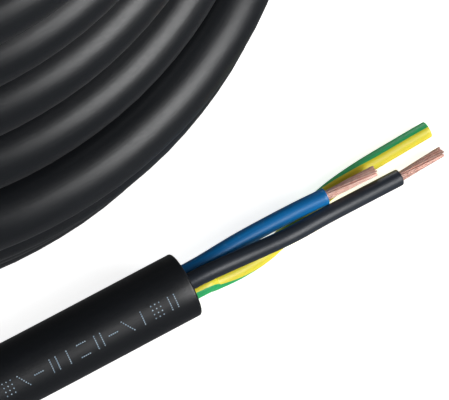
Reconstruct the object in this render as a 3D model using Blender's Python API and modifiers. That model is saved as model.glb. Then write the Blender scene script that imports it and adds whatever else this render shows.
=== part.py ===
"""A tied coil of heavy three-core rubber cable with one end stripped for wiring.

The coil stands on its flat underside.  The lead leaves the bottom turn, sweeps round in
front of the coil and ends in a stripped sheath, from which the blue, black and earth cores
fan out.  The other end of the cable is cut off flush and lies on top of the coil.
Positions are measured from the middle of the coil; ASSEMBLY_ORIGIN then moves them all so
that the origin is under the middle of the whole object.
"""
from math import cos, pi, radians, sin, sqrt

import bmesh
import bpy
import numpy as np
from mathutils import Matrix, Vector

# Cable, in metres
SHEATH_D = 0.0140
CORE_D = 0.0036
BORE_D = 0.0025
COPPER_D = 0.0022
CORE_CIRCLE_R = 0.00245
PASSAGE_D = 0.0039
GAP = 0.0003

# Coil: turns a pitch apart, lying on the straps of the ties
PITCH = 0.0141
STRAP_LIFT = 0.0016
OUTER_TURN_R = 0.0987
OVAL = 0.04
OVAL_AXIS = radians(-47)
NEST_IN = PITCH / 2
NEST_UP = PITCH * sqrt(3) / 2
TOP_STEPS = ((0.0045, 0.0134), (0.0035, 0.0137), (0.0018, 0.0140))
FLAT_LEVELS = 4
WIDE_LEVELS = 2
WIDE_INNER_TURNS = 3
TURN_R = SHEATH_D / 2
RING_STEPS = 64
RING_FOOT = 0.0030
RING_INSET = 0.0006

# The stack leans: how far each flat level is shifted, from the lowest to the highest
LEAN_BY_LEVEL = (0.0124, 0.0080, 0.0033, 0.0)
LEAN_TOWARD = radians(120)

# Display end
MOUTH = Vector((0.0817, -0.0891, 0.0071))
HEADING = radians(29.5)
MOUTH_LENGTH = 0.030
PASSAGE_DEPTH = 0.022
HINGE_CLEARANCE = 0.0012
LEAD_ROUTE = (
    (0.0440, -0.1107, 0.0071),
    (0.0200, -0.1230, 0.0071),
    (-0.0080, -0.1310, 0.0071),
    (-0.0370, -0.1320, 0.0071),
    (-0.0640, -0.1230, 0.0072),
    (-0.0860, -0.1050, 0.0076),
    (-0.1010, -0.0800, 0.0080),
    (-0.1080, -0.0510, 0.0084),
    (-0.1068, -0.0240, 0.0086),
    (-0.1050, 0.0000, 0.0086),
)
LEAD_JOINS_AT = radians(172)
LEAD_BURIED_TO = radians(158)
LEAD_SPACING = 2.2 * SHEATH_D
GROOVE_POINTS = 6

# Cut end, on top of the coil
CUT_END_AT = radians(291)
CUT_END_LENGTH = 0.034
CUT_END_RISE = TURN_R * 0.4
CUT_PASSAGE_DEPTH = 0.012

# Cores: angle round the sheath, then the route from the mouth and the length of bare copper
CORES = {
    "blue": {
        "angle": radians(-11),
        "route": (
            (0.0927, -0.0793, 0.0063),
            (0.1029, -0.0733, 0.0060),
            (0.1103, -0.0693, 0.0058),
        ),
        "bare": ((0.1204, -0.0636, 0.0055),),
        "colour": (0.006, 0.120, 0.420),
    },
    "black": {
        "angle": radians(109),
        "route": (
            (0.0943, -0.0830, 0.0079),
            (0.1029, -0.0783, 0.0066),
            (0.1117, -0.0732, 0.0050),
            (0.1256, -0.0638, 0.0026),
        ),
        "bare": ((0.1343, -0.0578, 0.0018),),
        "colour": (0.020, 0.026, 0.036),
    },
    "earth": {
        "angle": radians(229),
        "route": (
            (0.0872, -0.0874, 0.0035),
            (0.0927, -0.0841, 0.0022),
            (0.0984, -0.0799, 0.0019),
            (0.1044, -0.0735, 0.0019),
            (0.1102, -0.0674, 0.0019),
            (0.1169, -0.0622, 0.0019),
            (0.1254, -0.0567, 0.0019),
            (0.1316, -0.0528, 0.0019),
        ),
        "bare": (),
        "colour": (0.750, 0.700, 0.060),
    },
}
CORE_SPACING = 1.6 * CORE_D
STRANDS_ROUND = 9
STRAND_TWIST = radians(200)
STRAND_VALLEY = 0.87

# Ties
TIE_ANGLES = (radians(20), radians(110), radians(250))
STRAP_WIDTH = 0.0076
STRAP_THICKNESS = 0.0013
STRAP_GAP = 0.0008
NOTCH_DEPTH = 0.0023
NOTCH_WIDTH = STRAP_WIDTH + 0.0012
HEAD_SIZE = (0.0070, 0.0110, 0.0100)
HEAD_HEIGHT = 0.030
HEAD_SUNK = 0.0010
TAIL_LENGTH = 0.015
TAIL_SUNK = 0.0020

# The middle of the coil, seen from under the middle of the whole object
ASSEMBLY_ORIGIN = Vector((-0.00982, 0.01022, 0.0))


def material(name, colour, roughness, metallic=0.0):
    made = bpy.data.materials.new(name)
    made.use_nodes = True
    shader = made.node_tree.nodes["Principled BSDF"]
    shader.inputs["Base Color"].default_value = (*colour, 1.0)
    shader.inputs["Roughness"].default_value = roughness
    shader.inputs["Metallic"].default_value = metallic
    return made


def put(obj, collection, parent=None):
    """Link an object into one collection and hang it on a parent."""
    collection.objects.link(obj)
    obj.parent = parent
    return obj


def hide_cutter(obj):
    obj.hide_render = True
    obj.display_type = "WIRE"


def add_modifier(obj, kind, name, **settings):
    modifier = obj.modifiers.new(name, kind)
    for key, value in settings.items():
        setattr(modifier, key, value)
    return modifier


def cut(obj, cutter, operation="DIFFERENCE"):
    add_modifier(obj, "BOOLEAN", operation.lower(), operation=operation, object=cutter)


def smooth(points, spacing):
    """Points at an even spacing on a smooth curve through the given points."""
    ends = [2 * points[0] - points[1], *points, 2 * points[-1] - points[-2]]
    fine = []
    for a, b, c, d in zip(ends, ends[1:], ends[2:], ends[3:]):
        for k in range(24):
            t = k / 24
            fine.append(
                0.5 * (2 * b + (c - a) * t + (2 * a - 5 * b + 4 * c - d) * t**2
                       + (3 * b - a - 3 * c + d) * t**3)
            )
    fine = np.array([*fine, points[-1]])
    along = np.r_[0, np.cumsum(np.linalg.norm(np.diff(fine, axis=0), axis=1))]
    count = max(2, round(along[-1] / spacing) + 1)
    even = np.linspace(0, along[-1], count)
    return [Vector([np.interp(s, along, fine[:, k]) for k in range(3)]) for s in even]


def poly_curve(name, points, radius, resolution=2, caps=True):
    """A round rod or tube along a line of points."""
    data = bpy.data.curves.new(name, "CURVE")
    data.dimensions = "3D"
    data.bevel_depth = radius
    data.bevel_resolution = resolution
    data.use_fill_caps = caps
    spline = data.splines.new("POLY")
    spline.points.add(len(points) - 1)
    for point, place in zip(spline.points, points):
        point.co = (*place, 1.0)
    return bpy.data.objects.new(name, data)


def face_outwards(mesh):
    tools = bmesh.new()
    tools.from_mesh(mesh)
    bmesh.ops.remove_doubles(tools, verts=tools.verts, dist=1e-6)
    bmesh.ops.recalc_face_normals(tools, faces=tools.faces)
    tools.to_mesh(mesh)
    tools.free()


def as_mesh(curve_obj, collection, parent=None):
    """Replace a curve object by a welded mesh object of the same name and place."""
    scratch = bpy.context.scene.collection
    scratch.objects.link(curve_obj)
    bpy.context.view_layer.update()
    evaluated = curve_obj.evaluated_get(bpy.context.evaluated_depsgraph_get())
    mesh = bpy.data.meshes.new_from_object(evaluated)
    name = curve_obj.name
    place = curve_obj.matrix_world.copy()
    bpy.data.objects.remove(curve_obj)
    face_outwards(mesh)
    mesh.shade_smooth()
    mesh.set_sharp_from_angle(angle=radians(40))
    obj = bpy.data.objects.new(name, mesh)
    obj.matrix_world = place
    return put(obj, collection, parent)


def heading_vector():
    return Vector((cos(HEADING), sin(HEADING), 0))


def oval_radius(radius, angle):
    """Distance from the coil's middle to a turn of the given mean radius."""
    turned = angle - OVAL_AXIS
    long_way = cos(turned) / (1 + OVAL)
    short_way = sin(turned) / (1 - OVAL)
    return radius / sqrt(long_way**2 + short_way**2)


def on_turn(radius, angle, height):
    reach = oval_radius(radius, angle)
    return Vector((reach * cos(angle), reach * sin(angle), height))


def level_height(level):
    """Height of the middle of the turns in one of the flat levels."""
    return STRAP_LIFT + TURN_R + level * PITCH


def leaned(place):
    """A point of the upright stack, moved sideways by the lean at its height."""
    heights = [level_height(level) for level in range(FLAT_LEVELS)]
    shift = float(np.interp(place[2], heights, LEAN_BY_LEVEL))
    return Vector(place) + Vector((cos(LEAN_TOWARD), sin(LEAN_TOWARD), 0)) * shift


def stepped_turns():
    """Mean radius and height of the turns that climb from the highest flat level to the top."""
    radius, height = OUTER_TURN_R, level_height(FLAT_LEVELS - 1)
    turns = []
    for step_in, step_up in ((NEST_IN, NEST_UP), *TOP_STEPS):
        radius -= step_in
        height += step_up
        turns.append((radius, height))
    return turns


def across(direction, angle, radius):
    """Offset of a core from the sheath's axis, at an angle round a level axis."""
    left = Vector((-direction.y, direction.x, 0)).normalized()
    return (left * cos(angle) + Vector((0, 0, 1)) * sin(angle)) * radius


def ring_profile():
    """Outline of the coil's section as (radius, height), down its outer side."""
    outer = OUTER_TURN_R + TURN_R - RING_INSET
    inner = OUTER_TURN_R - WIDE_INNER_TURNS * PITCH - TURN_R
    steps = stepped_turns()
    crown_r, crown_z = steps[-1]
    wall_heights = [level_height(level) for level in range(FLAT_LEVELS)]
    ledge = level_height(WIDE_LEVELS - 1) + TURN_R
    return (
        (crown_r, crown_z + TURN_R),
        (crown_r + TURN_R * 0.8, crown_z + TURN_R * 0.6),
        *[(radius + TURN_R, height + TURN_R * 0.3) for radius, height in reversed(steps[:-1])],
        *[(outer, height) for height in reversed(wall_heights)],
        (outer, RING_FOOT),
        (outer - RING_FOOT, 0.0),
        (inner + RING_FOOT, 0.0),
        (inner, RING_FOOT),
        *[(inner, height) for height in wall_heights[:WIDE_LEVELS]],
        (inner + TURN_R, ledge),
        *[(inner + PITCH, height) for height in wall_heights[WIDE_LEVELS:]],
        (steps[0][0] - PITCH - TURN_R, steps[0][1]),
        (crown_r - TURN_R * 0.8, crown_z + TURN_R * 0.6),
    )


def coil_ring(parts, parent):
    """The outer shape of all the turns: the section carried round the leaning oval."""
    profile = ring_profile()
    count = len(profile)
    corners = []
    for step in range(RING_STEPS):
        angle = 2 * pi * step / RING_STEPS
        corners += [leaned(on_turn(radius, angle, height)) for radius, height in profile]
    faces = []
    for step in range(RING_STEPS):
        here = step * count
        ahead = (step + 1) % RING_STEPS * count
        for k in range(count):
            after = (k + 1) % count
            faces.append((here + k, here + after, ahead + after, ahead + k))
    mesh = bpy.data.meshes.new("cable_coil")
    mesh.from_pydata(corners, [], faces)
    face_outwards(mesh)
    return put(bpy.data.objects.new("cable_coil", mesh), parts, parent)


def lead_points():
    """The lead from its start inside the bottom turn to the back of the stripped end."""
    start = [
        np.array(leaned(on_turn(OUTER_TURN_R, angle, level_height(0))))
        for angle in np.linspace(LEAD_BURIED_TO, LEAD_JOINS_AT, 3)
    ]
    back = MOUTH - heading_vector() * (MOUTH_LENGTH + GAP)
    straight = back - heading_vector() * SHEATH_D
    route = [*start, *[np.array(p) for p in reversed(LEAD_ROUTE[1:])]]
    return smooth([*route, np.array(straight), np.array(back)], LEAD_SPACING)


def lead(parts, cutters, parent, ring):
    """The sheathed lead, in a groove that it presses into the outside of the coil."""
    points = lead_points()
    tube = poly_curve("lead_sheath", points, TURN_R, resolution=4)
    put(tube, parts, parent)
    first = (points[0] - points[1]).normalized() * GAP
    groove_line = [points[0] + first, *points[1:GROOVE_POINTS]]
    groove = poly_curve("lead_groove", groove_line, TURN_R + 2 * GAP, resolution=4)
    groove = as_mesh(groove, cutters, parent)
    hide_cutter(groove)
    cut(ring, groove)
    return tube


def rod_mesh(name, start, end, radius, collection, parent, sides=16):
    """A closed round rod between two points."""
    mesh = bpy.data.meshes.new(name)
    tools = bmesh.new()
    length = (end - start).length
    bmesh.ops.create_cone(
        tools, cap_ends=True, segments=sides, radius1=radius, radius2=radius, depth=length
    )
    tools.to_mesh(mesh)
    tools.free()
    mesh.shade_smooth()
    mesh.set_sharp_from_angle(angle=radians(40))
    rod = bpy.data.objects.new(name, mesh)
    turned = (end - start).to_track_quat("Z", "Y").to_matrix().to_4x4()
    rod.matrix_basis = Matrix.Translation((start + end) / 2) @ turned
    return put(rod, collection, parent)


def hollow_tube(name, points, collection, parent):
    """An insulation tube with an open bore along a line of points."""
    tube = as_mesh(poly_curve(name, points, CORE_D / 2, resolution=2, caps=False), collection, parent)
    wall = (CORE_D - BORE_D) / 2
    add_modifier(tube, "SOLIDIFY", "wall", thickness=wall, offset=-1.0, use_even_offset=True)
    return tube


def strand_profile():
    """The outline of a bunch of wires, scalloped where its outer wires show."""
    data = bpy.data.curves.new("strand_profile", "CURVE")
    data.dimensions = "2D"
    data.fill_mode = "NONE"
    spline = data.splines.new("POLY")
    count = STRANDS_ROUND * 3
    spline.points.add(count - 1)
    spline.use_cyclic_u = True
    for k, point in enumerate(spline.points):
        angle = 2 * pi * k / count
        reach = COPPER_D / 2 * (STRAND_VALLEY if k % 3 == 0 else 1.0)
        point.co = (reach * cos(angle), reach * sin(angle), 0, 1)
    return data


def conductor(name, points, collection, parent, profile):
    """A twisted bunch of fine wires as one scalloped rod."""
    curve = poly_curve(name, points, 0.0)
    curve.data.bevel_mode = "OBJECT"
    curve.data.bevel_object = profile
    for k, point in enumerate(curve.data.splines[0].points):
        point.tilt = STRAND_TWIST * k / (len(points) - 1)
    return as_mesh(curve, collection, parent)


def drill_passages(sheath, face, inward, depth, cutters, parent):
    """Three blind passages for the cores, from a sheath's cut face inwards."""
    for name, core in CORES.items():
        offset = across(-inward, core["angle"], CORE_CIRCLE_R)
        start = face + offset - inward * 0.002
        end = face + offset + inward * depth
        drill = rod_mesh(
            f"{sheath.name}_{name}_passage", start, end, PASSAGE_D / 2, cutters, parent
        )
        hide_cutter(drill)
        cut(sheath, drill)


def core_in_sheath(prefix, core, face, inward, depth, parts, parent, materials):
    """The stretch of one core that stays inside the sheath: insulation and copper."""
    offset = across(-inward, CORES[core]["angle"], CORE_CIRCLE_R)
    front = face + offset
    back = front + inward * (depth - GAP)
    tube = hollow_tube(f"{prefix}_{core}_insulation", [front, (front + back) / 2, back], parts, parent)
    tube.data.materials.append(materials[core])
    rod = rod_mesh(f"{prefix}_{core}_conductor", front, back, COPPER_D / 2, parts, parent, sides=18)
    rod.data.materials.append(materials["copper"])


def stripped_end(parts, cutters, parent, materials):
    """The last of the sheath at the display end, with its three passages filled."""
    back = MOUTH - heading_vector() * MOUTH_LENGTH
    sheath = rod_mesh("sheath_mouth", back, MOUTH, TURN_R, parts, parent, sides=32)
    sheath.data.materials.append(materials["sheath"])
    inward = -heading_vector()
    drill_passages(sheath, MOUTH, inward, PASSAGE_DEPTH, cutters, parent)
    for core in CORES:
        core_in_sheath("held", core, MOUTH, inward, PASSAGE_DEPTH, parts, parent, materials)


def core_start(core):
    """Where a free core begins: its hinge point, just outside the mouth."""
    ahead = heading_vector() * HINGE_CLEARANCE
    return MOUTH + across(heading_vector(), CORES[core]["angle"], CORE_CIRCLE_R) + ahead


def free_core(name, parts, parent, profile, materials):
    """One core outside the sheath, hinged at the mouth: insulation and bare-ended copper."""
    core = CORES[name]
    hinge = bpy.data.objects.new(f"{name}_hinge", None)
    put(hinge, parts, parent)
    hinge.location = core_start(name)
    start = np.zeros(3)
    pivot = np.array(hinge.location)
    lead_in = np.array(heading_vector()) * CORE_D
    insulated = [start, lead_in, *[np.array(p) - pivot for p in core["route"]]]
    line = smooth(insulated, CORE_SPACING)
    tube = hollow_tube(f"{name}_insulation", line, parts, hinge)
    tube.data.materials.append(materials[name])
    for tip in core["bare"]:
        bare_end = Vector(tip) - hinge.location
        line = [*line, (line[-1] + bare_end) / 2, bare_end]
    copper = conductor(f"{name}_conductor", line, parts, hinge, profile)
    copper.data.materials.append(materials["copper"])


def cut_end(parts, cutters, parent, ring, materials):
    """The flush-cut far end of the cable, let into the top of the coil."""
    crown_r, crown_z = stepped_turns()[-1]
    middle = on_turn(crown_r, CUT_END_AT, crown_z + CUT_END_RISE)
    along = Vector((-sin(CUT_END_AT), cos(CUT_END_AT), 0))
    face = middle - along * CUT_END_LENGTH / 2
    back = middle + along * CUT_END_LENGTH / 2
    sheath = rod_mesh("cut_end_sheath", back, face, TURN_R, parts, parent, sides=32)
    sheath.data.materials.append(materials["sheath"])
    groove = rod_mesh(
        "cut_end_groove", back + along * GAP, face - along * TURN_R, TURN_R + 2 * GAP,
        cutters, parent, sides=32,
    )
    hide_cutter(groove)
    cut(ring, groove)
    drill_passages(sheath, face, along, CUT_PASSAGE_DEPTH, cutters, parent)
    for core in CORES:
        core_in_sheath("cut", core, face, along, CUT_PASSAGE_DEPTH, parts, parent, materials)


def hull(points):
    """The convex outline round some points, in the order down the outer side."""
    ordered = sorted(tuple(point) for point in points)
    outline = []
    for run in (ordered, ordered[::-1]):
        chain = []
        for x, y in run:
            while len(chain) > 1:
                (ax, ay), (bx, by) = chain[-2:]
                if (bx - ax) * (y - ay) - (by - ay) * (x - ax) <= 0:
                    break
                chain.pop()
            chain.append((x, y))
        outline += chain[:-1]
    return [Vector(point) for point in outline]


def offset_outline(points, distance):
    """Move each corner of a closed outline outwards by a distance."""
    moved = []
    for k, point in enumerate(points):
        before = (point - points[k - 1]).normalized()
        after = (points[(k + 1) % len(points)] - point).normalized()
        normal_a = Vector((-before.y, before.x))
        normal_b = Vector((-after.y, after.x))
        bisector = (normal_a + normal_b).normalized()
        moved.append(point + bisector * distance / max(0.3, bisector.dot(normal_a)))
    return moved


def strap_outlines(angle):
    """The inside and outside of a strap, as (distance out, height) round the section."""
    stretch = oval_radius(1.0, angle)
    section = hull(
        (radius * stretch, max(height, NOTCH_DEPTH)) for radius, height in ring_profile()
    )
    inside = offset_outline(section, STRAP_GAP)
    outside = offset_outline(section, STRAP_GAP + STRAP_THICKNESS)
    return inside, outside


def lean_mesh(obj):
    """Move each corner of an upright piece sideways with the leaning stack."""
    place = obj.matrix_basis
    back = place.inverted()
    for corner in obj.data.vertices:
        corner.co = back @ leaned(place @ corner.co)
    return obj


def strap(name, angle, parts, parent):
    """A flat band round the coil's section, standing in the plane through its axis."""
    data = bpy.data.curves.new(name, "CURVE")
    data.dimensions = "2D"
    data.fill_mode = "BOTH"
    data.extrude = STRAP_WIDTH / 2
    for outline in strap_outlines(angle):
        spline = data.splines.new("POLY")
        spline.points.add(len(outline) - 1)
        spline.use_cyclic_u = True
        for point, place in zip(spline.points, outline):
            point.co = (place.x, place.y, 0, 1)
    band = bpy.data.objects.new(name, data)
    band.matrix_world = Matrix.Rotation(angle, 4, "Z") @ Matrix.Rotation(pi / 2, 4, "X")
    return lean_mesh(as_mesh(band, parts, parent))


def box(name, size, place, collection, parent):
    mesh = bpy.data.meshes.new(name)
    tools = bmesh.new()
    bmesh.ops.create_cube(tools, size=1.0, matrix=Matrix.Diagonal((*size, 1.0)))
    tools.to_mesh(mesh)
    tools.free()
    made = bpy.data.objects.new(name, mesh)
    made.matrix_basis = place
    return put(made, collection, parent)


def coil_tie(number, angle, parts, cutters, parent, ring, materials):
    """A one-piece cable tie: strap, locking head and the trimmed tail through it."""
    name = f"coil_tie_{number}"
    tie = strap(name, angle, parts, parent)
    tie.data.materials.append(materials["tie"])
    outline = strap_outlines(angle)[1]
    wall = max(point.x for point in outline)
    turned = Matrix.Rotation(angle, 4, "Z")
    head_place = Matrix.Translation((wall + HEAD_SIZE[0] / 2 - HEAD_SUNK, 0, HEAD_HEIGHT))
    head = lean_mesh(box(f"{name}_head", HEAD_SIZE, turned @ head_place, cutters, parent))
    add_modifier(head, "BEVEL", "edges", width=0.0008, segments=2)
    tail_size = (STRAP_THICKNESS, STRAP_WIDTH * 0.94, TAIL_LENGTH)
    tail_middle = HEAD_HEIGHT - HEAD_SIZE[2] / 2 - TAIL_LENGTH / 2 + TAIL_SUNK
    tail_place = Matrix.Translation((wall + HEAD_SIZE[0] * 0.6, 0, tail_middle))
    tail = lean_mesh(box(f"{name}_tail", tail_size, turned @ tail_place, cutters, parent))
    for piece in (head, tail):
        hide_cutter(piece)
        cut(tie, piece, "UNION")
    notch_size = (OUTER_TURN_R, NOTCH_WIDTH, 2 * NOTCH_DEPTH)
    notch_place = Matrix.Translation((OUTER_TURN_R * 0.75, 0, 0))
    notch = lean_mesh(box(f"{name}_notch", notch_size, turned @ notch_place, cutters, parent))
    hide_cutter(notch)
    cut(ring, notch)


def main():
    for obj in list(bpy.data.objects):
        bpy.data.objects.remove(obj)
    parts = bpy.data.collections.new("rubber_cable_coil")
    cutters = bpy.data.collections.new("cutters")
    for collection in (parts, cutters):
        bpy.context.scene.collection.children.link(collection)
    materials = {
        name: material(f"{name}_insulation", core["colour"], 0.42)
        for name, core in CORES.items()
    }
    materials["sheath"] = material("sheath_rubber", (0.012, 0.013, 0.015), 0.46)
    materials["copper"] = material("bare_copper", (0.780, 0.420, 0.320), 0.28, 1.0)
    materials["tie"] = material("tie_nylon", (0.015, 0.015, 0.016), 0.40)

    assembly = put(bpy.data.objects.new("assembly", None), parts)
    assembly.location = ASSEMBLY_ORIGIN
    profile = put(bpy.data.objects.new("strand_profile", strand_profile()), cutters)
    hide_cutter(profile)

    ring = coil_ring(parts, assembly)
    ring.data.materials.append(materials["sheath"])
    tube = lead(parts, cutters, assembly, ring)
    tube.data.materials.append(materials["sheath"])
    stripped_end(parts, cutters, assembly, materials)
    for name in CORES:
        free_core(name, parts, assembly, profile, materials)
    cut_end(parts, cutters, assembly, ring, materials)
    for number, angle in enumerate(TIE_ANGLES, start=1):
        coil_tie(number, angle, parts, cutters, assembly, ring, materials)


main()
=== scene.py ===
"""Looks of a tied coil of heavy three-core rubber cable with one end stripped for wiring."""
from math import cos, pi, radians, sin, sqrt

import bmesh
import bpy
import numpy as np
from mathutils import Matrix, Vector, kdtree


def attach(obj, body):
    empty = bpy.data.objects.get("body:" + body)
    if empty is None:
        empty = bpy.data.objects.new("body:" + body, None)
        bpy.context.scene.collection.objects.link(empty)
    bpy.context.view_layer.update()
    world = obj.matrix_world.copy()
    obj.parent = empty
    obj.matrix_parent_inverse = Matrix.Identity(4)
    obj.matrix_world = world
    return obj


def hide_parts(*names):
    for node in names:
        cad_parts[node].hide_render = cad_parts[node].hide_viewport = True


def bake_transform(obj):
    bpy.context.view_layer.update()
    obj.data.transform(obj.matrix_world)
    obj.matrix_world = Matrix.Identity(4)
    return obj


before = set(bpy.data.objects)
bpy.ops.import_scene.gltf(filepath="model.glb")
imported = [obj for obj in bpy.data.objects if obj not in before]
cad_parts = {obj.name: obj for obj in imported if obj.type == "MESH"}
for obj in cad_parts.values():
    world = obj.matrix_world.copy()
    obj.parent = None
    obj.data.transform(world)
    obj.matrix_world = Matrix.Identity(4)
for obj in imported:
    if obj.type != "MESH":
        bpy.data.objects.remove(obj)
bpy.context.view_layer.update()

# The middle of the coil, and the same sizes and route as the CAD source, in metres
MIDDLE = np.array((-0.00982, 0.01022, 0.0))
SHEATH_D = 0.0140
SHEATH_R = SHEATH_D / 2
CORE_D = 0.0036
COPPER_D = 0.0022
CORE_CIRCLE_R = 0.00245
PASSAGE_D = 0.0038
PITCH = 0.0141
STRAP_LIFT = 0.0016
OUTER_TURN_R = 0.0987
OVAL = 0.04
OVAL_AXIS = radians(-47)
NEST_IN = PITCH / 2
NEST_UP = PITCH * sqrt(3) / 2
TOP_STEPS = ((0.0045, 0.0134), (0.0035, 0.0137), (0.0018, 0.0140))
FLAT_LEVELS = 4
WIDE_LEVELS = 2
WIDE_INNER_TURNS = 3
LEAN_BY_LEVEL = (0.0124, 0.0080, 0.0033, 0.0)
LEAN_TOWARD = radians(120)
MOUTH = np.array((0.0817, -0.0891, 0.0071))
HEADING = radians(29.5)
AHEAD = np.array((cos(HEADING), sin(HEADING), 0.0))
MOUTH_LENGTH = 0.030
LEAD_ROUTE = (
    (0.0440, -0.1107, 0.0071),
    (0.0200, -0.1230, 0.0071),
    (-0.0080, -0.1310, 0.0071),
    (-0.0370, -0.1320, 0.0071),
    (-0.0640, -0.1230, 0.0072),
    (-0.0860, -0.1050, 0.0076),
    (-0.1010, -0.0800, 0.0080),
    (-0.1080, -0.0510, 0.0084),
    (-0.1068, -0.0240, 0.0086),
    (-0.1050, 0.0000, 0.0086),
)
LEAD_JOINS_AT = radians(172)
CORD_LENGTH = 10.0

# A turn starts where the lead joins; these are the shares of a turn over which it changes place
POINTS_PER_TURN = 96
RISE_FROM, RISE_TO = 0.67, 0.92
SHIFT_FROM, SHIFT_TO = 0.71, 1.0
LAST_TURN_SHARE = 0.708

# How finely the lines are laid, and how the wound turns settle against each other
POINT_SPACING = 0.005
JOIN_POINT = 7
LEAD_LENGTH = 0.45
TURNS_APART = SHEATH_D * 1.002
NEXT_ALONG = 2.5 * SHEATH_D
SETTLE_ROUNDS = 60
SETTLE_SMOOTHING = 16
SETTLE_STEP = 1.3
FLOOR_GAP = 0.0001
CURVE_STEPS = 24

CORES = {
    "blue": {
        "angle": radians(-11),
        "route": (
            (0.0927, -0.0793, 0.0063),
            (0.1029, -0.0733, 0.0060),
            (0.1103, -0.0693, 0.0058),
        ),
        "tip": (0.1204, -0.0636, 0.0055),
    },
    "black": {
        "angle": radians(109),
        "route": (
            (0.0943, -0.0830, 0.0079),
            (0.1029, -0.0783, 0.0066),
            (0.1113, -0.0725, 0.0044),
            (0.1256, -0.0638, 0.0026),
        ),
        "tip": (0.1343, -0.0578, 0.0018),
    },
    "earth": {
        "angle": radians(229),
        "route": (
            (0.0872, -0.0874, 0.0035),
            (0.0927, -0.0841, 0.0022),
            (0.0984, -0.0799, 0.0019),
            (0.1044, -0.0735, 0.0019),
            (0.1102, -0.0674, 0.0019),
            (0.1169, -0.0622, 0.0019),
            (0.1254, -0.0567, 0.0019),
            (0.1316, -0.0528, 0.0019),
        ),
        "tip": None,
    },
}

# Camera: how steeply it looks down, how far it is from what it looks at, and its lens
VIEW_ELEVATION = radians(68)
VIEW_DISTANCE = 1.0
AIM = MIDDLE + np.array((0.08953, -0.06785, 0.0))
LENS_MM = 388.9
SENSOR_MM = 36.0


# ---------------------------------------------------------------- routes

def ease(share):
    """From 0 to 1 along half a cosine wave."""
    return (1 - np.cos(pi * np.clip(share, 0, 1))) / 2


def level_height(level):
    """Height of the middle of a turn that lies on a level."""
    return STRAP_LIFT + SHEATH_R + level * PITCH


def winding():
    """Mean radius and height of each turn, in the order in which the cable is wound."""
    turns = []
    for level in range(FLAT_LEVELS):
        inner_turns = WIDE_INNER_TURNS if level < WIDE_LEVELS else WIDE_INNER_TURNS - 1
        columns = [OUTER_TURN_R - k * PITCH for k in range(inner_turns + 1)]
        order = columns if level % 2 == 0 else columns[::-1]
        turns += [(radius, level_height(level)) for radius in order]
    radius, height = OUTER_TURN_R - NEST_IN, level_height(FLAT_LEVELS - 1) + NEST_UP
    turns += [(radius, height), (radius - PITCH, height)]
    for step_in, step_up in TOP_STEPS:
        radius -= step_in
        height += step_up
        turns.append((radius, height))
    return np.array(turns)


def oval_radius(radius, angle):
    """How far out an oval turn of a mean radius lies at an angle."""
    turned = angle - OVAL_AXIS
    along = np.cos(turned) / (1 + OVAL)
    across = np.sin(turned) / (1 - OVAL)
    return radius / np.hypot(along, across)


def coil_points():
    """Middle line of the wound cable, from where the lead joins to the cut end."""
    turns = winding()
    count = round((len(turns) - 1 + LAST_TURN_SHARE) * POINTS_PER_TURN)
    done = np.arange(count + 1) / POINTS_PER_TURN
    number = np.minimum(done.astype(int), len(turns) - 1)
    share = done - number
    following = np.minimum(number + 1, len(turns) - 1)
    here, there = turns[number], turns[following]
    rise = ease((share - RISE_FROM) / (RISE_TO - RISE_FROM))
    shift = ease((share - SHIFT_FROM) / (SHIFT_TO - SHIFT_FROM))
    radius = here[:, 0] + (there[:, 0] - here[:, 0]) * shift
    height = here[:, 1] + (there[:, 1] - here[:, 1]) * rise
    angle = LEAD_JOINS_AT - 2 * pi * done
    reach = oval_radius(radius, angle)
    levels = [level_height(level) for level in range(FLAT_LEVELS)]
    lean = np.interp(height, levels, LEAN_BY_LEVEL)
    return np.stack([
        reach * np.cos(angle) + lean * cos(LEAN_TOWARD),
        reach * np.sin(angle) + lean * sin(LEAN_TOWARD),
        height,
    ], axis=1)


def smooth(points, spacing):
    """Points at an even spacing on a smooth curve through the given points."""
    points = np.array(points, float)
    ends = np.vstack([2 * points[0] - points[1], points, 2 * points[-1] - points[-2]])
    t = (np.arange(CURVE_STEPS) / CURVE_STEPS)[:, None]
    fine = [
        0.5 * (2 * b + (c - a) * t + (2 * a - 5 * b + 4 * c - d) * t**2
               + (3 * b - a - 3 * c + d) * t**3)
        for a, b, c, d in zip(ends, ends[1:], ends[2:], ends[3:])
    ]
    return evenly(np.vstack([*fine, points[-1:]]), spacing)


def evenly(points, spacing):
    """Points at an even spacing along the same line."""
    along = lengths(points)
    even = np.linspace(0, along[-1], max(2, round(along[-1] / spacing) + 1))
    return np.stack([np.interp(even, along, points[:, k]) for k in range(3)], axis=1)


def lengths(points):
    """How far along the line each point is."""
    return np.r_[0, np.cumsum(np.linalg.norm(np.diff(points, axis=0), axis=1))]


def search_tree(points):
    """A tree that finds the points nearest to a place."""
    tree = kdtree.KDTree(len(points))
    for k, point in enumerate(points):
        tree.insert(point, k)
    tree.balance()
    return tree


def settle(points, fixed):
    """Push turns that press into each other a diameter apart, keeping the line smooth."""
    line = points.copy()
    neighbours = int(NEXT_ALONG / np.linalg.norm(line[1] - line[0]))
    for _ in range(SETTLE_ROUNDS):
        tree = search_tree(line)
        push = np.zeros_like(line)
        hits = np.zeros(len(line))
        for k, point in enumerate(line):
            for other, j, distance in tree.find_range(point, TURNS_APART):
                if abs(j - k) > neighbours and distance > 1e-6:
                    away = (point - np.array(other)) / distance
                    push[k] += away * (TURNS_APART - distance) / 2
                    hits[k] += 1
        push /= np.maximum(hits, 1)[:, None]
        for _ in range(SETTLE_SMOOTHING):
            push[1:-1] = (push[:-2] + 2 * push[1:-1] + push[2:]) / 4
        push[fixed] = 0
        line += push * SETTLE_STEP
        line[:, 2] = np.maximum(line[:, 2], SHEATH_R + FLOOR_GAP)
    return line


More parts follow.
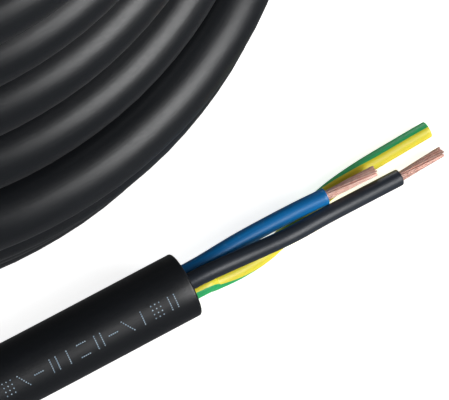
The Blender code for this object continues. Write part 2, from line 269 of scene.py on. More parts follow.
def cord_line():
    """Middle line of the whole cable, from the mouth to the cut end, where it lies in the frame."""
    lead = [MOUTH, MOUTH - AHEAD * (MOUTH_LENGTH + SHEATH_D), *LEAD_ROUTE[1:]]
    coil = coil_points()
    first = smooth([*lead, *coil[:JOIN_POINT + 1:3]], POINT_SPACING)
    line = evenly(np.vstack([first, coil[JOIN_POINT:]]), POINT_SPACING)
    line = settle(line, fixed=lengths(line) < LEAD_LENGTH)
    return evenly(line[lengths(line) <= CORD_LENGTH], POINT_SPACING) + MIDDLE


# ---------------------------------------------------------------- mesh tools

SHARP_ANGLE = radians(50)
MERGE_DISTANCE = 1e-6


def frames(line, first_normal, twist=0.0):
    """Tangent, normal and binormal along a line, turned by twist radians a metre."""
    tangents = np.gradient(line, axis=0)
    tangents /= np.linalg.norm(tangents, axis=1)[:, None]
    normal = np.array(first_normal, float)
    normals = []
    for tangent in tangents:
        normal = normal - tangent * (normal @ tangent)
        normal /= np.linalg.norm(normal)
        normals.append(normal)
    normals = np.array(normals)
    across = np.cross(tangents, normals)
    turn = (lengths(line) * twist)[:, None]
    turned_normals = normals * np.cos(turn) + across * np.sin(turn)
    return tangents, turned_normals, across * np.cos(turn) - normals * np.sin(turn)


def ring(centre, normal, across, radius, sides):
    """Points of a circle in the plane of two directions."""
    angles = 2 * pi * np.arange(sides) / sides
    return centre + radius * (np.outer(np.cos(angles), normal) + np.outer(np.sin(angles), across))


def shade(mesh, sharp_angle=SHARP_ANGLE):
    mesh.shade_smooth()
    mesh.set_sharp_from_angle(angle=sharp_angle)


def new_mesh(name, corners, faces, smooth_shaded=True):
    mesh = bpy.data.meshes.new(name)
    mesh.from_pydata([tuple(corner) for corner in corners], [], faces)
    if smooth_shaded:
        shade(mesh)
    made = bpy.data.objects.new(name, mesh)
    bpy.context.scene.collection.objects.link(made)
    return made


def add_tube(corners, faces, rings, capped=True, looped=False):
    """Join rings of points into a tube and append it to the lists."""
    start = len(corners)
    sides = len(rings[0])
    count = len(rings)
    for points in rings:
        corners.extend(points)
    for k in range(count if looped else count - 1):
        near, far = start + k * sides, start + (k + 1) % count * sides
        for j in range(sides):
            after = (j + 1) % sides
            faces.append((near + j, near + after, far + after, far + j))
    if capped:
        last = start + (count - 1) * sides
        faces.append(tuple(start + j for j in reversed(range(sides))))
        faces.append(tuple(last + j for j in range(sides)))


def save_places(obj, values):
    """Write a place for each corner, which the materials read as the attribute "cable"."""
    attribute = obj.data.attributes.new("cable", "FLOAT_VECTOR", "POINT")
    attribute.data.foreach_set("vector", np.array(values, np.float32).ravel())


def mark_places(obj, line, line_frames):
    """Each corner's place on a cable or core: how far along, and the two ways across, in metres."""
    tangents, normals, across = line_frames
    tree = search_tree(line)
    along = lengths(line)
    values = []
    for corner in obj.data.vertices:
        _, k, _ = tree.find(corner.co)
        arm = np.array(corner.co) - line[k]
        values.append((along[k] + arm @ tangents[k], arm @ normals[k], arm @ across[k]))
    save_places(obj, values)


def mark_stub(obj, centre):
    """The same for a core at the cable's cut end, from its place beside the end's centre."""
    arms = [np.array(corner.co) - centre for corner in obj.data.vertices]
    save_places(obj, [(0.0, arm[0], arm[1]) for arm in arms])


# ---------------------------------------------------------------- pieces

SIDES = 32
RIM = 0.0006
RIM_STEPS = 4
HOLE_SIDES = 24
HELD_LENGTH = 0.014


def end_rings(line, normals, across, at_start):
    """The last rings of the sheath, rounded over at the cut edge."""
    k = 0 if at_start else -1
    inward = line[1] - line[0] if at_start else line[-2] - line[-1]
    inward = inward / np.linalg.norm(inward)
    rings = []
    for step in range(RIM_STEPS + 1):
        angle = pi / 2 * step / RIM_STEPS
        depth = RIM * (1 - sin(angle))
        radius = SHEATH_R - RIM * (1 - cos(angle))
        rings.append(ring(line[k] + inward * depth, normals[k], across[k], radius, SIDES))
    return rings, inward


def core_offset(core, ahead):
    """A core's offset from the sheath's axis, and left and up, all seen looking along ahead."""
    left = np.array((-ahead[1], ahead[0], 0.0))
    left /= np.linalg.norm(left)
    up = np.cross(ahead, left)
    angle = CORES[core]["angle"]
    return (left * cos(angle) + up * sin(angle)) * CORE_CIRCLE_R, left, up


def cap_with_passages(tools, rim, face_centre, inward):
    """Close a cut end with a flat face that has three passages in it, and give these walls."""
    outer = [tools.verts.new(point) for point in rim]
    edges = [tools.edges.new((outer[j - 1], outer[j])) for j in range(len(outer))]
    for core in CORES:
        offset, left, up = core_offset(core, -inward)
        hole = ring(face_centre + offset, left, up, PASSAGE_D / 2, HOLE_SIDES)
        mouth = [tools.verts.new(point) for point in hole]
        back = [tools.verts.new(point + inward * HELD_LENGTH) for point in hole]
        edges += [tools.edges.new((mouth[j - 1], mouth[j])) for j in range(HOLE_SIDES)]
        for j in range(HOLE_SIDES):
            tools.faces.new((mouth[j - 1], mouth[j], back[j], back[j - 1]))
        tools.faces.new(back)
    bmesh.ops.triangle_fill(tools, edges=edges, use_beauty=True, use_dissolve=False)


def make_sheath(line, print_frames):
    """The whole cable's sheath as one tube, with a cut face and three passages at both ends."""
    _, normals, across = print_frames
    body = [
        ring(point, normal, side, SHEATH_R, SIDES)
        for point, normal, side in zip(line[1:-1], normals[1:-1], across[1:-1])
    ]
    first, first_inward = end_rings(line, normals, across, True)
    last, last_inward = end_rings(line, normals, across, False)
    corners, faces = [], []
    add_tube(corners, faces, [*reversed(first), *body, *last], capped=False)
    sheath = new_mesh("sheath", corners, faces)
    tools = bmesh.new()
    tools.from_mesh(sheath.data)
    cap_with_passages(tools, first[-1], line[0], first_inward)
    cap_with_passages(tools, last[-1], line[-1], last_inward)
    bmesh.ops.remove_doubles(tools, verts=tools.verts, dist=MERGE_DISTANCE)
    bmesh.ops.recalc_face_normals(tools, faces=tools.faces)
    tools.to_mesh(sheath.data)
    tools.free()
    shade(sheath.data)
    mark_places(sheath, line, print_frames)
    return sheath


CORE_SIDES = 28
CORE_RIM = 0.00025
CORE_SPACING = 0.0008
STRAIGHT_AT_MOUTH = 0.004
BORE_R = COPPER_D / 2 * 1.04
BORE_DEPTHS = (0.00005, 0.0004, 0.0012, 0.0060)
STUB_LENGTH = 0.012
STUB_POINTS = 14
STUB_PROUD = 0.0002

STRAND_R = 0.00017
STRAND_LAYERS = (1, 6, 12, 18)
STRAND_LAYER_TURN = 0.3
STRAND_TURNS_PER_METRE = 14
STRAND_SIDES = 6
STRAND_SPACING = 0.0006
STRAND_SEED = 7
FLARE_FROM = 0.45
BUNCH_NORMAL = (0.31, -0.20, 0.93)
WIRE_NORMAL = (0.1, 0.3, 0.95)
BARE_INSIDE = 0.005


def core_line(core):
    """Middle line of one core's insulation, from inside the sheath to its cut end."""
    offset, _, _ = core_offset(core, AHEAD)
    held = MOUTH + offset
    route = [np.array(point) for point in CORES[core]["route"]]
    start = [
        held - AHEAD * HELD_LENGTH * 0.9,
        held - AHEAD * STRAIGHT_AT_MOUTH,
        held + AHEAD * STRAIGHT_AT_MOUTH,
    ]
    return smooth([*start, *route], CORE_SPACING) + MIDDLE


def make_insulation(core, line, normal):
    """A core's insulation: rounded at its cut end, with a bore that shows its wall."""
    _, normals, across = frames(line, normal)
    ahead = line[-1] - line[-2]
    ahead = ahead / np.linalg.norm(ahead)
    rings = [ring(*row, CORE_D / 2, CORE_SIDES) for row in zip(line[:-1], normals, across)]
    for step in range(1, RIM_STEPS + 1):
        angle = pi / 2 * step / RIM_STEPS
        centre = line[-1] - ahead * CORE_RIM * (1 - sin(angle))
        radius = CORE_D / 2 - CORE_RIM * (1 - cos(angle))
        rings.append(ring(centre, normals[-1], across[-1], radius, CORE_SIDES))
    for depth in BORE_DEPTHS:
        rings.append(ring(line[-1] - ahead * depth, normals[-1], across[-1], BORE_R, CORE_SIDES))
    corners, faces = [], []
    add_tube(corners, faces, rings)
    return new_mesh(f"{core}_core_insulation", corners, faces)


def strand_places(radius):
    """Places of the fine wires in a bunch: distance from the middle and angle, layer by layer."""
    places = []
    for layer, count in enumerate(STRAND_LAYERS):
        reach = (radius - STRAND_R) * layer / (len(STRAND_LAYERS) - 1)
        turned = layer * STRAND_LAYER_TURN
        places += [(reach, 2 * pi * (k + turned) / count) for k in range(count)]
    return places


def make_strands(name, line, radius, flare, ragged):
    """A twisted bunch of fine copper wires, spreading a little at its tip."""
    tangents, normals, across = frames(line, BUNCH_NORMAL)
    along = lengths(line)
    share = along / along[-1]
    opening = flare * ease((share - FLARE_FROM) / (1 - FLARE_FROM))
    scatter = np.random.default_rng(STRAND_SEED)
    corners, faces = [], []
    for reach, start_angle in strand_places(radius):
        stray = scatter.normal(0, 1, 4)
        spread = 1 + opening * (1 + 0.25 * stray[0])
        angle = start_angle + along * STRAND_TURNS_PER_METRE * 2 * pi + 0.10 * stray[1]
        far = reach * spread + 0.00003 * stray[2] * share
        side = normals * np.cos(angle)[:, None] + across * np.sin(angle)[:, None]
        wire = line + side * far[:, None]
        wire[-1] += tangents[-1] * ragged * stray[3]
        _, wire_normals, wire_across = frames(wire, WIRE_NORMAL)
        rows = zip(wire, wire_normals, wire_across)
        add_tube(corners, faces, [ring(*row, STRAND_R, STRAND_SIDES) for row in rows])
    return new_mesh(name, corners, faces)


def bare_line(core, insulation_line):
    """Middle line of a core's bare copper, starting inside the bore of its insulation."""
    along = lengths(insulation_line)
    inside = insulation_line[along > along[-1] - BARE_INSIDE]
    tip = CORES[core]["tip"]
    if tip is None:
        return inside
    return smooth([*inside[::3], insulation_line[-1], np.array(tip) + MIDDLE], STRAND_SPACING)


def make_cut_cores(line):
    """The three cores at the flush-cut far end: short insulated stubs and their copper."""
    ahead = line[-1] - line[-2]
    ahead = ahead / np.linalg.norm(ahead)
    stubs = {}
    for core in CORES:
        offset, left, _ = core_offset(core, ahead)
        face = line[-1] + offset
        depths = np.linspace(STUB_LENGTH, -STUB_PROUD, STUB_POINTS)
        stub = np.array([face - ahead * depth for depth in depths])
        insulation = make_insulation(core, stub, left)
        insulation.name = f"cut_{core}_insulation_end"
        copper = make_strands(
            f"cut_{core}_strands", stub[4:], COPPER_D / 2, flare=0.0, ragged=0.00003
        )
        stubs[core] = (insulation, copper)
    return stubs


# Ties
TIE_ANGLES = (radians(20), radians(110), radians(250))
STRAP_WIDTH = 0.0076
STRAP_THICKNESS = 0.0013
STRAP_CLEARANCE = 0.00015
STRAP_POINTS = 220
TURN_SIDES = 48
STRAP_EDGE = 0.0003
GROOVE_FLOOR = 0.82
GROOVE_EDGES = (0.55, 0.50)
HEAD_SIZE = (0.0070, 0.0110, 0.0100)
HEAD_HEIGHT = 0.030
HEAD_BEVEL = 0.0009
HEAD_SUNK = 0.0008
PAWL_SIZE = (0.0035, 0.00682, 0.0006)
PAWL_BEVEL = 0.0002
PAWL_OUT = 0.0006
TAIL_LENGTH = 0.015
TAIL_WIDTH = STRAP_WIDTH * 0.94
TAIL_LIFT = 0.0012
TOOTH_PITCH = 0.0010
TOOTH_HEIGHT = 0.0002
TIE_SHARP_ANGLE = radians(35)


def section(line, angle):
    """Where the cable crosses an upright half-plane through the coil's middle: (out, height)."""
    local = line - MIDDLE
    outward = np.array((cos(angle), sin(angle)))
    sideways = np.array((-sin(angle), cos(angle)))
    side = local[:, :2] @ sideways
    out = local[:, :2] @ outward
    crossing = np.flatnonzero((side[:-1] * side[1:] <= 0) & (out[:-1] > 0))
    share = side[crossing] / (side[crossing] - side[crossing + 1])
    return np.stack([
        out[crossing] + (out[crossing + 1] - out[crossing]) * share,
        local[crossing, 2] + (local[crossing + 1, 2] - local[crossing, 2]) * share,
    ], axis=1)


def hull(points):
    """Corners of the convex outline round some points, counter-clockwise."""
    ordered = sorted(map(tuple, points))
    sides = []
    for run in (ordered, ordered[::-1]):
        chain = []
        for point in run:
            while len(chain) > 1 and cross2(chain[-2], chain[-1], point) <= 0:
                chain.pop()
            chain.append(point)
        sides += chain[:-1]
    return np.array(sides)


def cross2(a, b, c):
    """Above zero where the way from a through b to c turns left."""
    return (b[0] - a[0]) * (c[1] - a[1]) - (b[1] - a[1]) * (c[0] - a[0])


def strap_loop(line, angle):
    """Inside line of a strap pulled tight round the turns, evenly spaced, and its outward normals."""
    turns = section(line, angle)
    turns = turns[np.abs(turns[:, 0] - OUTER_TURN_R + 1.5 * PITCH) < 3 * PITCH]
    round_turn = np.linspace(0, 2 * pi, TURN_SIDES, endpoint=False)
    reach = SHEATH_R + STRAP_CLEARANCE
    outline = hull([
        (out + reach * cos(side), height + reach * sin(side))
        for out, height in turns for side in round_turn
    ])
    closed = np.vstack([outline, outline[:1]])
    steps = lengths(closed)
    even = np.linspace(0, steps[-1], STRAP_POINTS, endpoint=False)
    loop = np.stack([np.interp(even, steps, closed[:, k]) for k in range(2)], axis=1)
    tangent = np.roll(loop, -1, axis=0) - np.roll(loop, 1, axis=0)
    for _ in range(2):
        tangent = (np.roll(tangent, 1, axis=0) + tangent + np.roll(tangent, -1, axis=0)) / 3
    tangent /= np.linalg.norm(tangent, axis=1)[:, None]
    return loop, np.stack([tangent[:, 1], -tangent[:, 0]], axis=1)


def tie_axes(angle):
    """Outward, sideways and up at a tie's place on the coil."""
    outward = np.array((cos(angle), sin(angle), 0.0))
    return outward, np.array((-outward[1], outward[0], 0.0)), np.array((0.0, 0.0, 1.0))


def strap_rings(line, normals, angle, width, tooth_height=0.0):
    """Sections of a grooved strap along a line in the upright plane at an angle."""
    outward, sideways, up = tie_axes(angle)
    half, edge, top = width / 2, STRAP_EDGE, STRAP_THICKNESS
    groove_floor, shoulder = top * GROOVE_FLOOR, top - edge
    brink, foot = (half * share for share in GROOVE_EDGES)
    right_half = (
        (foot, groove_floor), (brink, top), (half - edge, top), (half, shoulder), (half, edge),
        (half - edge, 0.0),
    )
    profile = [*((-across, height) for across, height in reversed(right_half)), *right_half]
    toothed = (groove_floor, shoulder)
    rings = []
    for k, (point, normal) in enumerate(zip(line, normals)):
        place = MIDDLE + outward * point[0] + up * point[1]
        rise = outward * normal[0] + up * normal[1]
        tooth = tooth_height * (k % 2)
        rings.append([
            place + sideways * across + rise * (height + (tooth if height in toothed else 0.0))
            for across, height in profile
        ])
    return rings


def rounded_block(tools, size, place, bevel):
    """Add a box with rounded edges."""
    made = bmesh.ops.create_cube(tools, size=1.0, matrix=place @ Matrix.Diagonal((*size, 1.0)))
    edges = {edge for corner in made["verts"] for edge in corner.link_edges}
    bmesh.ops.bevel(
        tools, geom=list(edges), offset=bevel, segments=3, profile=0.5, affect="EDGES"
    )


def make_tie(number, line, angle):
    """A cable tie: the strap round the turns, its locking head and the trimmed, toothed tail."""
    loop, normals = strap_loop(line, angle)
    corners, faces = [], []
    strap = strap_rings(loop, normals, angle, STRAP_WIDTH)
    add_tube(corners, faces, strap, capped=False, looped=True)
    outer = loop[:, 0] > loop[:, 0].mean()
    at = int(np.where(outer, np.abs(loop[:, 1] - HEAD_HEIGHT), 1.0).argmin())
    base, normal = loop[at], normals[at]
    down = np.array((normal[1], -normal[0]))
    if down[1] > 0:
        down = -down
    teeth = np.arange(0, TAIL_LENGTH + HEAD_SIZE[2] / 2, TOOTH_PITCH / 2)
    tail = base + normal * (STRAP_THICKNESS + TAIL_LIFT) + down * teeth[:, None]
    tail_normals = np.repeat(normal[None], len(teeth), axis=0)
    add_tube(corners, faces, strap_rings(tail, tail_normals, angle, TAIL_WIDTH, TOOTH_HEIGHT))
    tie = new_mesh(f"cable_tie_{number}", corners, faces)
    outward, sideways, up = tie_axes(angle)
    rise = Vector(outward * normal[0] + up * normal[1])
    fall = Vector(outward * down[0] + up * down[1])
    axes = Matrix((rise, Vector(sideways), fall)).transposed().to_4x4()
    head_out = STRAP_THICKNESS * 0.6 + HEAD_SIZE[0] / 2 - HEAD_SUNK
    head = Vector(MIDDLE + outward * base[0] + up * base[1]) + rise * head_out
    pawl = head - fall * (HEAD_SIZE[2] / 2) + rise * PAWL_OUT
    tools = bmesh.new()
    tools.from_mesh(tie.data)
    rounded_block(tools, HEAD_SIZE, Matrix.Translation(head) @ axes, HEAD_BEVEL)
    rounded_block(tools, PAWL_SIZE, Matrix.Translation(pawl) @ axes, PAWL_BEVEL)
    bmesh.ops.recalc_face_normals(tools, faces=tools.faces)
    tools.to_mesh(tie.data)
    tools.free()
    shade(tie.data, TIE_SHARP_ANGLE)
    return tie


# Print: generic marks in dots along the sheath
DOT_PITCH = 0.00046
DOT_R = 0.00013
DOT_SIDES = 8
DOT_ROWS = 7
MARK_COLUMNS = 5
MARK_STEP = 0.0034
MARK_ORDER = (0, 4, 3, 1, 2, 0, 5, 3, 0, 2, 1, 4)
FIRST_GROUP = 0.0045
GROUP_STEP = 0.095
PRINT_ANGLE = radians(126)
PRINT_TWIST = 0.35
PRINT_LIFT = 0.00002


def mark_dots(kind):
    """Columns and rows of the dots in one mark: bars, slopes and dashes, never a character."""
    rows = range(DOT_ROWS)
    middle = DOT_ROWS // 2
    marks = (
        [(column, row) for column in (0, 3) for row in rows],
        [(row * (MARK_COLUMNS - 1) / (DOT_ROWS - 1), row) for row in rows],
        [(column, middle) for column in range(MARK_COLUMNS)],
        [(2, row) for row in rows],
        [(column, row) for column in range(0, MARK_COLUMNS, 2) for row in range(0, DOT_ROWS, 2)],
        [(column, row) for column in range(MARK_COLUMNS) for row in (0, DOT_ROWS - 1)],
    )
    return marks[kind]


def make_marks(print_frames, line):
    """Every dot of the print, as a small flat disc lying on the sheath."""
    tangents, normals, across = print_frames
    along = lengths(line)
    corners, faces = [], []
    sides = [2 * pi * k / DOT_SIDES for k in range(DOT_SIDES)]
    disc = [(cos(side), sin(side)) for side in sides]
    reach = SHEATH_R + PRINT_LIFT
    group = FIRST_GROUP
    while group < along[-1] - GROUP_STEP:
        for k, kind in enumerate(MARK_ORDER):
            for column, row in mark_dots(kind):
                s = group + k * MARK_STEP + column * DOT_PITCH
                turn = (row - DOT_ROWS // 2) * DOT_PITCH / SHEATH_R
                place = [np.interp(s, along, line[:, j]) for j in range(3)]
                at = int(np.searchsorted(along, s))
                out = normals[at] * cos(turn) + across[at] * sin(turn)
                side = np.cross(tangents[at], out)
                start = len(corners)
                corners += [
                    np.array(place) + out * reach + (tangents[at] * x + side * y) * DOT_R
                    for x, y in disc
                ]
                faces.append(tuple(range(start, start + DOT_SIDES)))
        group += GROUP_STEP
    return new_mesh("print_marks", corners, faces, smooth_shaded=False)


# ---------------------------------------------------------------- materials

class Nodes:
    """Short names for adding and linking shader nodes in one material."""

    def __init__(self, name):
        self.material = bpy.data.materials.new(name)
        self.material.use_nodes = True
        self.tree = self.material.node_tree
        self.shader = self.tree.nodes["Principled BSDF"]

    def add(self, kind, inputs=None, **settings):
        """A node of a kind, with its inputs by name or number and its other settings."""
        node = self.tree.nodes.new(f"ShaderNode{kind}")
        for key, value in settings.items():
            setattr(node, key, value)
        for key, value in (inputs or {}).items():
            self.put(node, key, value)
        return node

    def put(self, node, key, value):
        """Link a socket to an input, or set the input to a number or colour."""
        if isinstance(value, bpy.types.NodeSocket):
            self.tree.links.new(value, node.inputs[key])
        else:
            node.inputs[key].default_value = value

    def maths(self, operation, a, b=0.0, c=0.0):
        node = self.add("Math", {0: a, 1: b, 2: c}, operation=operation)
        return node.outputs[0]

    def noise(self, vector, scale, detail=4.0, roughness=0.55):
        settings = {"Vector": vector, "Scale": scale, "Detail": detail, "Roughness": roughness}
        return self.add("TexNoise", settings).outputs["Fac"]

    def scaled(self, vector, scale):
        return self.add("VectorMath", {0: vector, 1: scale}, operation="MULTIPLY").outputs[0]

    def band(self, value, low, high, out_low=0.0, out_high=1.0):
        """A smooth step from out_low to out_high, as the value goes from low to high."""
        inputs = {
            "Value": value, "From Min": low, "From Max": high, "To Min": out_low, "To Max": out_high,
        }
        return self.add("MapRange", inputs, interpolation_type="SMOOTHSTEP").outputs["Result"]

    def blend(self, factor, a, b):
        mix = self.add("Mix", data_type="RGBA")
        for key, value in ((0, factor), (6, a), (7, b)):
            self.put(mix, key, value)
        return mix.outputs[2]

    def bump(self, *layers):
        """Stacked bumps, each a height socket and its depth in metres."""
        normal = None
        for height, depth in layers:
            node = self.add("Bump", {"Height": height, "Distance": depth, "Strength": 1.0})
            if normal is not None:
                self.put(node, "Normal", normal)
            normal = node.outputs[0]
        self.put(self.shader, "Normal", normal)

    def cable(self):
        """Along and across the cable or core, as mark_places wrote it."""
        return self.add("Attribute", attribute_name="cable").outputs["Vector"]

    def place(self):
        return self.add("TexCoord").outputs["Object"]

    def set(self, **values):
        for key, value in values.items():
            self.put(self.shader, key.replace("_", " "), value)


def rgb(red, green, blue):
    return (red, green, blue, 1.0)


def sheath_rubber():
    """Black extruded rubber: fine lines along it, a dusty bloom and a few rubbed patches."""
    n = Nodes("sheath_rubber_look")
    cable, place = n.cable(), n.place()
    lines = n.noise(n.scaled(cable, (5.0, 1100.0, 1100.0)), 1.0, 3.0)
    grain = n.noise(place, 2600.0, 3.0, 0.6)
    ripple = n.noise(n.scaled(cable, (38.0, 120.0, 120.0)), 1.0, 2.0)
    cloud = n.noise(n.scaled(cable, (14.0, 90.0, 90.0)), 1.0, 5.0, 0.6)
    bloom = n.band(cloud, 0.50, 0.78, 0.0, 0.16)
    rubbed = n.noise(n.scaled(cable, (22.0, 420.0, 420.0)), 1.0, 6.0, 0.7)
    scuffs = n.band(rubbed, 0.66, 0.80, 0.0, 0.14)
    dust = n.maths("MAXIMUM", bloom, scuffs)
    colour = n.blend(dust, rgb(0.0048, 0.0060, 0.0082), rgb(0.034, 0.039, 0.047))
    rough = n.maths("ADD", n.band(grain, 0.3, 0.7, 0.33, 0.43), n.maths("MULTIPLY", dust, 0.40))
    n.set(Base_Color=colour, Roughness=rough, IOR=1.50, Sheen_Weight=0.04, Sheen_Roughness=0.5)
    n.bump((ripple, 0.00012), (lines, 0.000022), (grain, 0.000010))
    return n.material


def core_rubber(name, dark, light, chalk, roughness):
    """Smooth core insulation: streaked in colour along the core, with a trace of talc."""
    n = Nodes(name)
    cable, place = n.cable(), n.place()
    streaks = n.noise(n.scaled(cable, (30.0, 1500.0, 1500.0)), 1.0, 3.0)
    grain = n.noise(place, 4200.0, 3.0, 0.6)
    talc = n.band(n.noise(place, 420.0, 6.0, 0.7), 0.56, 0.82, 0.0, 0.30)
    tone = n.blend(n.band(streaks, 0.3, 0.7), dark, light)
    colour = n.blend(talc, tone, chalk)
    satin = n.band(grain, 0.3, 0.7, roughness - 0.04, roughness + 0.06)
    rough = n.maths("ADD", satin, n.maths("MULTIPLY", talc, 0.3))
    n.set(Base_Color=colour, Roughness=rough, IOR=1.48)
    n.bump((streaks, 0.000016), (grain, 0.000007))
    return n.material


# The green band turns quickly near the mouth, and then drifts on slowly by radians a metre
BAND_START = radians(-4)
BAND_TURN = radians(200)
BAND_TURNS_BETWEEN = (0.010, 0.065)
BAND_DRIFT = radians(250)


def earth_rubber():
    """Yellow insulation with one broad green band that winds round it."""
    n = Nodes("earth_insulation_look")
    cable, place = n.cable(), n.place()
    parts = n.add("SeparateXYZ", {"Vector": cable}).outputs
    angle = n.maths("ARCTAN2", parts[2], parts[1])
    winding_round = n.band(parts[0], *BAND_TURNS_BETWEEN, BAND_START, BAND_START + BAND_TURN)
    middle = n.maths("MULTIPLY_ADD", parts[0], BAND_DRIFT, winding_round)
    turned = n.maths("SUBTRACT", angle, middle)
    wobble = n.maths("MULTIPLY", n.noise(n.scaled(cable, (90.0, 0.0, 0.0)), 1.0, 3.0), 0.10)
    band = n.band(n.maths("ADD", n.maths("COSINE", turned), wobble), 0.56, 0.62)
    streaks = n.noise(n.scaled(cable, (30.0, 1500.0, 1500.0)), 1.0, 3.0)
    grain = n.noise(place, 4200.0, 3.0, 0.6)
    yellow = n.blend(n.band(streaks, 0.3, 0.7), rgb(0.76, 0.66, 0.030), rgb(0.86, 0.75, 0.050))
    green = n.blend(n.band(streaks, 0.3, 0.7), rgb(0.018, 0.380, 0.115), rgb(0.032, 0.480, 0.155))
    talc = n.band(n.noise(place, 420.0, 6.0, 0.7), 0.60, 0.84, 0.0, 0.20)
    colour = n.blend(talc, n.blend(band, yellow, green), rgb(0.72, 0.72, 0.66))
    n.set(
        Base_Color=colour, Roughness=n.band(grain, 0.3, 0.7, 0.34, 0.46), IOR=1.48,
        Subsurface_Weight=0.06, Subsurface_Scale=0.001,
    )
    n.bump((streaks, 0.000016), (grain, 0.000007))
    return n.material


def bright_copper():
    """Freshly bared copper wire: pinkish, drawn bright, with warmer tarnish in places."""
    n = Nodes("bare_copper_look")
    place = n.place()
    tarnish = n.band(n.noise(place, 900.0, 4.0, 0.6), 0.42, 0.72)
    drawn = n.noise(place, 5200.0, 2.0)
    colour = n.blend(tarnish, rgb(0.96, 0.66, 0.57), rgb(0.86, 0.50, 0.40))
    n.set(Base_Color=colour, Metallic=0.7, Roughness=n.band(drawn, 0.3, 0.7, 0.32, 0.46))
    n.bump((drawn, 0.000006))
    return n.material


def tie_nylon():
    """Moulded black nylon: satin, slightly mottled, worn paler where it is handled."""
    n = Nodes("tie_nylon_look")
    place = n.place()
    grain = n.noise(place, 1800.0, 3.0, 0.6)
    wear = n.band(n.noise(place, 160.0, 5.0, 0.65), 0.58, 0.80, 0.0, 0.35)
    colour = n.blend(wear, rgb(0.012, 0.012, 0.013), rgb(0.060, 0.060, 0.062))
    n.set(Base_Color=colour, Roughness=n.band(grain, 0.3, 0.7, 0.30, 0.42), IOR=1.53)
    n.bump((grain, 0.000010))
    return n.material


def print_ink():
    """Pale blue-white ink, thin and slightly broken up by the rubber's grain."""
    n = Nodes("print_ink_look")
    patchy = n.noise(n.place(), 1500.0, 3.0)
    colour = n.blend(n.band(patchy, 0.35, 0.65), rgb(0.30, 0.44, 0.58), rgb(0.48, 0.62, 0.74))
    n.set(Base_Color=colour, Roughness=n.band(patchy, 0.3, 0.7, 0.50, 0.66))
    n.bump((patchy, 0.000006))
    return n.material


def floor_paper():
    """White paper with a glow of its own, so that it stays white round the black cable."""
    n = Nodes("floor_paper")
    fibre = n.noise(n.place(), 220.0, 4.0)
    n.set(Base_Color=n.blend(fibre, rgb(0.90, 0.90, 0.90), rgb(0.93, 0.93, 0.93)), Roughness=0.85)
    n.set(Emission_Color=rgb(1.0, 1.0, 1.0), Emission_Strength=FLOOR_GLOW)
    return n.material


# ---------------------------------------------------------------- studio

FLOOR_GLOW = 0.80
FLOOR_HALF = 3.0
FLOOR_DROP = 0.0001
WORLD_LIGHT = 0.06
WORLD_COLOUR = rgb(0.92, 0.95, 1.0)
VIEW_FORWARD = Vector((0, cos(VIEW_ELEVATION), -sin(VIEW_ELEVATION)))
VIEW_RIGHT = Vector((1, 0, 0))
VIEW_UP = VIEW_RIGHT.cross(VIEW_FORWARD)


def seen_from_camera(right, up, near):
    """A direction given in the camera's own right, up and towards-the-camera."""
    return (VIEW_RIGHT * right + VIEW_UP * up - VIEW_FORWARD * near).normalized()


def make_camera():
    data = bpy.data.cameras.new("camera")
    data.sensor_width = SENSOR_MM
    data.lens = LENS_MM
    data.clip_start = 0.05
    data.clip_end = 20
    camera = bpy.data.objects.new("camera", data)
    axes = Matrix((VIEW_RIGHT, VIEW_UP, -VIEW_FORWARD)).transposed().to_4x4()
    camera.matrix_world = Matrix.Translation(Vector(AIM) - VIEW_FORWARD * VIEW_DISTANCE) @ axes
    bpy.context.scene.collection.objects.link(camera)
    bpy.context.scene.camera = camera


def soft_light(name, direction, distance, width, height, power):
    """A large rectangular light that faces the middle of the view."""
    data = bpy.data.lights.new(name, "AREA")
    data.shape = "RECTANGLE"
    data.size = width
    data.size_y = height
    data.energy = power
    light = bpy.data.objects.new(name, data)
    place = Vector(AIM) + direction.normalized() * distance
    facing = direction.to_track_quat("Z", "Y").to_matrix().to_4x4()
    light.matrix_world = Matrix.Translation(place) @ facing
    light.visible_camera = False
    bpy.context.scene.collection.objects.link(light)


def make_floor():
    """A white sheet that stays out of the rubber's reflections, as a cut-out background does."""
    half = FLOOR_HALF
    corners = [(-half, -half, 0), (half, -half, 0), (half, half, 0), (-half, half, 0)]
    floor = new_mesh("floor", corners, [(0, 1, 2, 3)])
    floor.location.z = -FLOOR_DROP
    floor.data.materials.append(floor_paper())
    floor.visible_glossy = False


def make_world():
    world = bpy.data.worlds.new("studio")
    world.use_nodes = True
    background = world.node_tree.nodes["Background"].inputs
    background["Color"].default_value = WORLD_COLOUR
    background["Strength"].default_value = WORLD_LIGHT
    bpy.context.scene.world = world


def make_studio():
    make_camera()
    make_floor()
    soft_light(
        "key", seen_from_camera(0.80, -0.06, 0.58), distance=1.3, width=0.85, height=0.85, power=17.5
    )
    soft_light(
        "back_fill", Vector((-0.45, 0.85, 0.32)), distance=1.5, width=1.4, height=0.7, power=20.0
    )
    soft_light(
        "left_fill", Vector((-0.95, -0.25, 0.30)), distance=1.5, width=1.2, height=0.6, power=11.0
    )
    make_world()
    bpy.context.scene.view_settings.view_transform = "Standard"


# ---------------------------------------------------------------- the whole object

def finish_piece(obj, look, slot_name, *replaced):
    """Give a piece its material, and hide the CAD nodes that it stands for."""
    obj.data.materials.append(look)
    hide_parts(*replaced)
    return obj


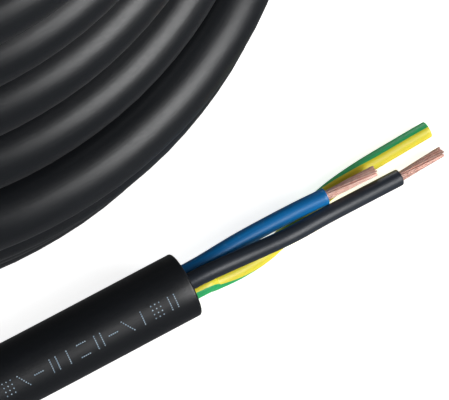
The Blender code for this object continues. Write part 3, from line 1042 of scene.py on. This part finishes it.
def make_cable(line):
    """The sheath with its print, both attached to the coil."""
    left = np.array((-sin(HEADING), cos(HEADING), 0))
    print_side = left * cos(PRINT_ANGLE) + np.array((0, 0, sin(PRINT_ANGLE)))
    print_frames = frames(line, print_side, PRINT_TWIST)
    sheath = make_sheath(line, print_frames)
    finish_piece(
        sheath, sheath_rubber(), "sheath_rubber",
        "cable_coil", "lead_sheath", "sheath_mouth", "cut_end_sheath",
    )
    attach(sheath, "coil")
    marks = make_marks(print_frames, line)
    marks.data.materials.append(print_ink())
    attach(marks, "coil")


def core_looks():
    return {
        "blue": core_rubber(
            "blue_insulation_look", rgb(0.0030, 0.135, 0.380), rgb(0.0055, 0.195, 0.530),
            rgb(0.20, 0.36, 0.55), 0.36,
        ),
        "black": core_rubber(
            "black_insulation_look", rgb(0.016, 0.021, 0.030), rgb(0.026, 0.033, 0.045),
            rgb(0.10, 0.12, 0.15), 0.40,
        ),
        "earth": earth_rubber(),
    }


def make_cores(line):
    """All three cores at both ends of the cable, each with its insulation and its copper."""
    copper = bright_copper()
    looks = core_looks()
    right = np.array((sin(HEADING), -cos(HEADING), 0))
    stubs = make_cut_cores(line)
    for core in CORES:
        middle = core_line(core)
        insulation = make_insulation(core, middle, right)
        mark_places(insulation, middle, frames(middle, right))
        finish_piece(
            insulation, looks[core], f"{core}_insulation",
            f"held_{core}_insulation", f"{core}_insulation",
        )
        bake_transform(insulation)
        flare, ragged = (0.0, 0.00005) if CORES[core]["tip"] is None else (0.12, 0.00014)
        bunch = bare_line(core, middle)
        strands = make_strands(f"{core}_strands", bunch, COPPER_D / 2 * 0.97, flare, ragged)
        finish_piece(
            strands, copper, "bare_copper", f"held_{core}_conductor", f"{core}_conductor"
        )
        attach(strands, f"{core}_core")
        end, end_copper = stubs[core]
        finish_piece(end, looks[core], f"{core}_insulation", f"cut_{core}_insulation")
        finish_piece(end_copper, copper, "bare_copper", f"cut_{core}_conductor")
        mark_stub(end, line[-1])
        for piece in (end, end_copper):
            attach(piece, "coil")


def make_ties(line):
    look = tie_nylon()
    for number, angle in enumerate(TIE_ANGLES, start=1):
        tie = make_tie(number, line, angle)
        finish_piece(tie, look, "tie_nylon", f"coil_tie_{number}")
        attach(tie, "coil")


make_studio()
cable_line = cord_line()
make_cable(cable_line)
make_cores(cable_line)
make_ties(cable_line)
